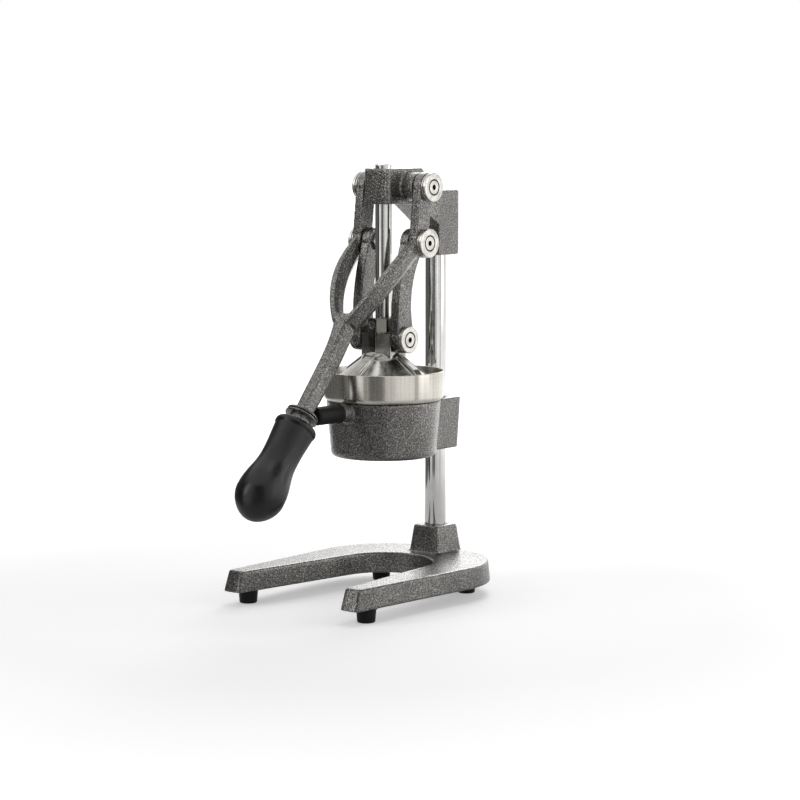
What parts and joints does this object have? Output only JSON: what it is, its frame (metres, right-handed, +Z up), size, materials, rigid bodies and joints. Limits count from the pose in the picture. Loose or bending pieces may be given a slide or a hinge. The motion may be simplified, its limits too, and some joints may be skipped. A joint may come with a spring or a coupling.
{
  "type": "hand lever citrus press",
  "caption": "Stand-mounted hand press: a long lever swings two links that drive a ribbed head down over a reamer in a strainer pan, above an open horseshoe base.",
  "frame": {"origin": "on the floor under the middle of the footprint, lever down", "axes": "+X right, +Y back towards the column, +Z up; the grip reaches towards -Y"},
  "size_m": [0.177, 0.2872, 0.399],
  "materials": {
    "hammered_paint": "hammered satin paint",
    "plain_steel": "plain",
    "black_rubber": "matte",
    "polished_steel": "polished",
    "turned_steel": "turned",
    "brushed_steel": "brushed",
    "cast_aluminium": "satin",
    "bronze": "plain",
    "black_grip": "satin"
  },
  "bodies": {
    "stand": {"base_casting": "hammered_paint", "bolt_top_left": "turned_steel", "bolt_top_right": "turned_steel", "bowl_bracket": "hammered_paint", "bowl_set_screw": "plain_steel", "column": "polished_steel", "column_bolt": "plain_steel", "column_washer": "plain_steel", "drip_funnel": "brushed_steel", "foot_front_left": "black_rubber", "foot_front_right": "black_rubber", "foot_rear_left": "black_rubber", "foot_rear_right": "black_rubber", "foot_screw_front_left": "plain_steel", "foot_screw_front_right": "plain_steel", "foot_screw_rear_left": "plain_steel", "foot_screw_rear_right": "plain_steel", "guide_bush_bottom": "bronze", "guide_bush_top": "bronze", "reamer_cone": "cast_aluminium", "reamer_screw": "plain_steel", "stop_sleeve": "black_rubber", "strainer_pan": "brushed_steel", "upper_bracket": "hammered_paint", "upper_set_screw": "plain_steel"},
    "lever": {"lever_yoke": "hammered_paint", "grip": "black_grip", "grip_insert": "bronze", "bush_top_left": "bronze", "bush_top_right": "bronze", "bolt_middle_left": "turned_steel", "bolt_middle_right": "turned_steel"},
    "left_link": {"link_left": "hammered_paint", "bush_lower_left": "bronze", "pin_middle_left": "plain_steel", "nut_middle_left": "plain_steel"},
    "right_link": {"link_right": "hammered_paint", "bush_lower_right": "bronze", "pin_middle_right": "plain_steel", "nut_middle_right": "plain_steel"},
    "head": {"press_head": "cast_aluminium", "guide_rod": "polished_steel", "rod_set_screw": "plain_steel", "bolt_lower_left": "turned_steel", "bolt_lower_right": "turned_steel"}
  },
  "joints": [
    {"name": "lever_pivot", "type": "hinge", "parent": "stand", "child": "lever", "pos_m": [0, 0.06634, 0.378], "axis": [-1, 0, 0], "range_deg": [0, 100]},
    {"name": "head_slide", "type": "slide", "parent": "stand", "child": "head", "axis": [0, 0, 1], "range_m": [0, 0.0691]},
    {"name": "left_link_pivot", "type": "hinge", "parent": "head", "child": "left_link", "pos_m": [0, 0.04664, 0.23942], "axis": [-1, 0, 0], "range_deg": [-28.3, 0]},
    {"name": "right_link_pivot", "type": "hinge", "parent": "head", "child": "right_link", "pos_m": [0, 0.04664, 0.23942], "axis": [-1, 0, 0], "range_deg": [-28.3, 0]}
  ],
  "couplings": [
    {"joint": "left_link_pivot", "follows": "lever_pivot", "ratio": -0.28155},
    {"joint": "right_link_pivot", "follows": "lever_pivot", "ratio": -0.28155},
    {"joint": "head_slide", "follows": "lever_pivot", "m_per_rad": 0.039527}
  ]
}
